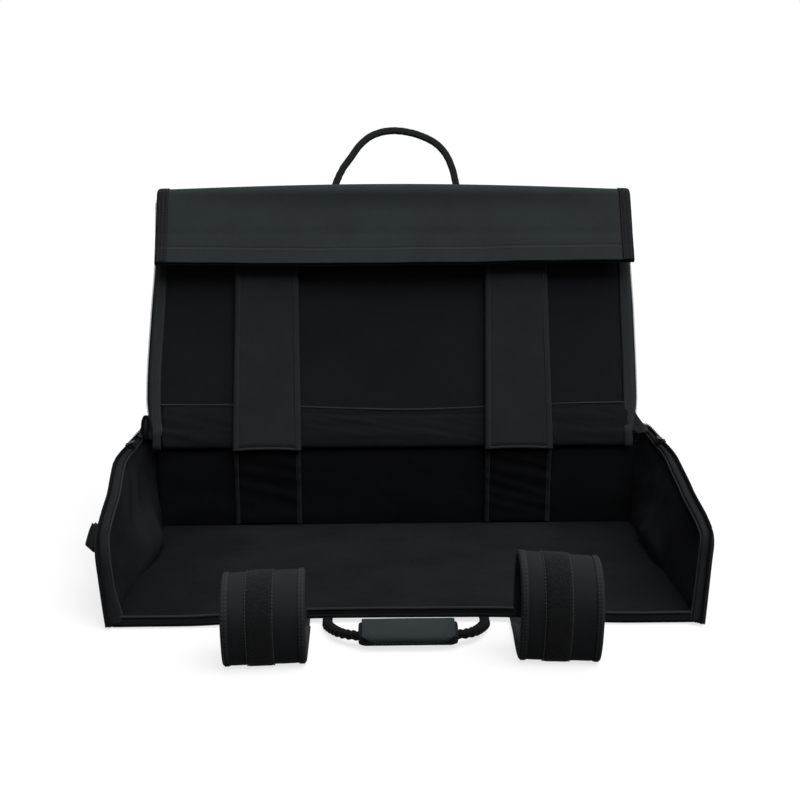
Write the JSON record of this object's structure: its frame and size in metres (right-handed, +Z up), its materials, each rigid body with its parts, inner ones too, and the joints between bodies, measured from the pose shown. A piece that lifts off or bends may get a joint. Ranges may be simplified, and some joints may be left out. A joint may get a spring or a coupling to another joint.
{
  "type": "pedalboard carry bag",
  "caption": "Open padded soft bag for carrying a pedalboard: hinged lid with folded front flap, flared end panels, tie-down straps, webbing handles and zip sliders.",
  "frame": {"origin": "on the floor under the middle of the bag, on the underside of the base", "axes": "+X to the right across the bag, +Y to the back wall, +Z up"},
  "size_m": [0.9761, 0.8, 0.7233],
  "materials": {
    "cover_cloth": "woven polyester, dull",
    "lining_cloth": "smooth woven lining",
    "strap_cloth": "woven polyester, dull",
    "padding_foam": "closed-cell foam",
    "stiffener_board": "raw board",
    "hook_and_loop": "fuzzy pile",
    "binding_tape": "ribbed tape",
    "webbing": "ribbed webbing",
    "zip_tape": "woven tape with coil",
    "zip_metal": "dark plated"
  },
  "bodies": {
    "bag_body": {"base_cover": "cover_cloth", "base_board": "stiffener_board", "base_foam": "padding_foam", "base_lining": "lining_cloth", "base_front_strip": "cover_cloth", "base_front_piping": "cover_cloth", "front_zip": "zip_tape", "base_side_piping": "cover_cloth", "back_cover": "cover_cloth", "back_foam": "padding_foam", "back_lining": "lining_cloth", "hinge_strip": "cover_cloth", "hinge_piping": "cover_cloth", "strap_risers": "strap_cloth", "front_strap_anchors": "webbing", "front_handle_anchors": "webbing"},
    "left_end": {"left_end_cover": "cover_cloth", "left_end_foam": "padding_foam", "left_end_lining": "lining_cloth", "left_end_binding": "binding_tape", "left_end_zip": "zip_tape", "left_end_gusset": "lining_cloth", "left_end_tab": "webbing"},
    "right_end": {"right_end_cover": "cover_cloth", "right_end_foam": "padding_foam", "right_end_lining": "lining_cloth", "right_end_binding": "binding_tape", "right_end_zip": "zip_tape", "right_end_gusset": "lining_cloth", "right_end_tab": "webbing"},
    "lid": {"lid_cover": "cover_cloth", "lid_foam": "padding_foam", "spine_foam": "padding_foam", "lid_lining": "lining_cloth", "lid_welt": "cover_cloth", "lid_binding": "cover_cloth", "lid_zip": "zip_tape", "fold_piping": "cover_cloth", "lid_handle_patches": "webbing"},
    "front_flap": {"flap_cover": "cover_cloth", "flap_foam": "padding_foam", "flap_lining": "lining_cloth", "flap_hem": "cover_cloth", "flap_zip": "zip_tape"},
    "rear_strap_left_body": {"rear_strap_left": "strap_cloth", "rear_strap_tape_left": "hook_and_loop"},
    "rear_strap_right_body": {"rear_strap_right": "strap_cloth", "rear_strap_tape_right": "hook_and_loop"},
    "front_strap_left_body": {"front_strap_left": "cover_cloth", "front_strap_tape_left": "hook_and_loop"},
    "front_strap_right_body": {"front_strap_right": "cover_cloth", "front_strap_tape_right": "hook_and_loop"},
    "lid_handle_body": {"lid_handle": "webbing"},
    "front_handle": {"front_handle_webbing": "webbing", "front_handle_grip": "cover_cloth"},
    "grip_flap_body": {"grip_flap": "cover_cloth"},
    "zip_slider_left_body": {"zip_slider_left": "zip_metal"},
    "zip_slider_right_body": {"zip_slider_right": "zip_metal"},
    "zip_pull_left_body": {"zip_pull_left": "zip_metal"},
    "zip_pull_right_body": {"zip_pull_right": "zip_metal"}
  },
  "joints": [
    {"name": "lid_hinge", "type": "hinge", "parent": "bag_body", "child": "lid", "pos_m": [0, 0.237, 0.174], "axis": [-1, 0, 0], "range_deg": [-110.3, 90]},
    {"name": "flap_fold", "type": "hinge", "parent": "lid", "child": "front_flap", "pos_m": [0, 0.35086, 0.59611], "axis": [1, 0, 0], "range_deg": [-103, 0]},
    {"name": "left_end_flare", "type": "hinge", "parent": "bag_body", "child": "left_end", "pos_m": [-0.436, 0, 0.004], "axis": [0, -1, 0], "range_deg": [-5, 9]},
    {"name": "right_end_flare", "type": "hinge", "parent": "bag_body", "child": "right_end", "pos_m": [0.436, 0, 0.004], "axis": [0, 1, 0], "range_deg": [-5, 9]},
    {"name": "rear_strap_left_swing", "type": "hinge", "parent": "lid", "child": "rear_strap_left_body", "pos_m": [-0.232, 0.22363, 0.19893], "axis": [1, 0, 0], "range_deg": [0, 115]},
    {"name": "rear_strap_right_swing", "type": "hinge", "parent": "lid", "child": "rear_strap_right_body", "pos_m": [0.22, 0.22363, 0.19893], "axis": [1, 0, 0], "range_deg": [0, 115]},
    {"name": "front_strap_left_swing", "type": "hinge", "parent": "bag_body", "child": "front_strap_left_body", "pos_m": [-0.197, -0.242, 0.0042], "axis": [-1, 0, 0], "range_deg": [0, 105]},
    {"name": "front_strap_right_swing", "type": "hinge", "parent": "bag_body", "child": "front_strap_right_body", "pos_m": [0.209, -0.242, 0.0042], "axis": [-1, 0, 0], "range_deg": [0, 105]},
    {"name": "lid_handle_swing", "type": "hinge", "parent": "lid", "child": "lid_handle_body", "pos_m": [0.003, 0.36703, 0.58391], "axis": [-1, 0, 0], "range_deg": [0, 165]},
    {"name": "front_handle_swing", "type": "hinge", "parent": "bag_body", "child": "front_handle", "pos_m": [0, -0.242, 0.0042], "axis": [-1, 0, 0], "range_deg": [0, 100]},
    {"name": "grip_flap_open", "type": "hinge", "parent": "front_handle", "child": "grip_flap_body", "pos_m": [0, -0.29372, 0.02346], "axis": [-1, 0, 0], "range_deg": [0, 120]},
    {"name": "zip_slider_left_slide", "type": "slide", "parent": "left_end", "child": "zip_slider_left_body", "axis": [0.0262, -0.9932, -0.1137], "range_m": [0, 0.36]},
    {"name": "zip_pull_left_swing", "type": "hinge", "parent": "zip_slider_left_body", "child": "zip_pull_left_body", "pos_m": [-0.48188, 0.20383, 0.16806], "axis": [-0.0262, 0.9932, 0.1137], "range_deg": [0, 140]},
    {"name": "zip_slider_right_slide", "type": "slide", "parent": "right_end", "child": "zip_slider_right_body", "axis": [-0.0262, -0.9932, -0.1137], "range_m": [0, 0.36]},
    {"name": "zip_pull_right_swing", "type": "hinge", "parent": "zip_slider_right_body", "child": "zip_pull_right_body", "pos_m": [0.48188, 0.20383, 0.16806], "axis": [-0.0262, -0.9932, -0.1137], "range_deg": [0, 140]}
  ]
}
